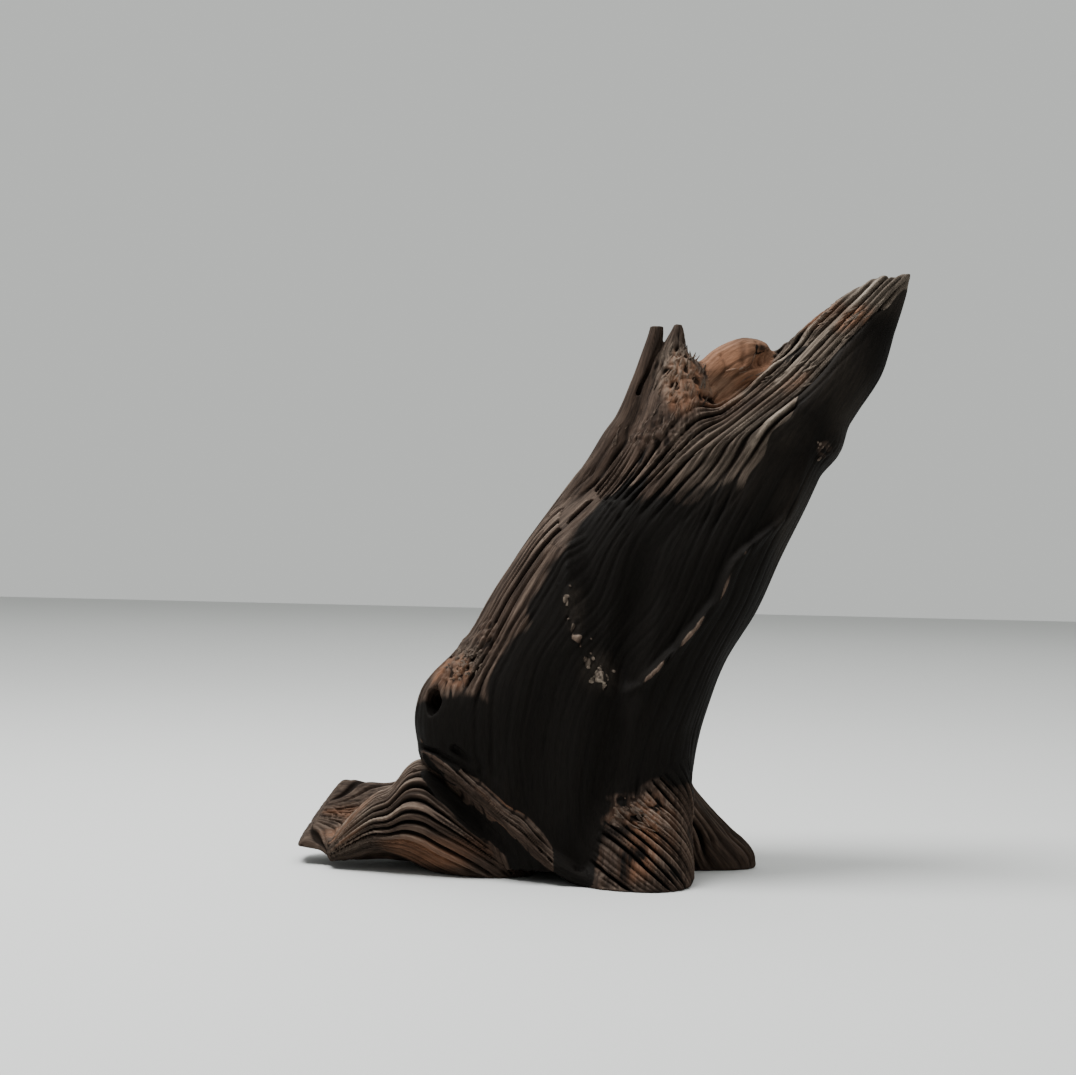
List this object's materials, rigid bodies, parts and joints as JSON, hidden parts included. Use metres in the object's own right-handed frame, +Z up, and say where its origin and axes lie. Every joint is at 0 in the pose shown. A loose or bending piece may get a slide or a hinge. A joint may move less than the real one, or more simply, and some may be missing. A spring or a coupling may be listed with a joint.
{
  "type": "bogwood",
  "caption": "Weathered bogwood stump standing on flared roots, its leaning trunk ending in a long spire, broken splinters and a rounded heartwood knuckle.",
  "frame": {"origin": "middle of the outline on the surface that the roots stand on", "axes": "+Z up, -Y toward the dark hollow front seen in the picture, +X toward the spire and away from the long root"},
  "size_m": [0.2918, 0.1474, 0.29],
  "materials": {
    "dark_wood": "bog-stained, matt, worn smooth between low ridges",
    "weathered_wood": "weathered, matt, deeply ridged along the grain",
    "heartwood": "bare orange-tan heartwood, matt"
  },
  "bodies": {
    "root": {"trunk": "dark_wood", "spire": "weathered_wood", "splinters": "weathered_wood", "knuckle": "heartwood", "left_root": "weathered_wood", "front_left_root": "weathered_wood", "centre_root": "weathered_wood", "right_root": "dark_wood", "back_root": "dark_wood", "back_left_root": "dark_wood"}
  },
  "joints": []
}
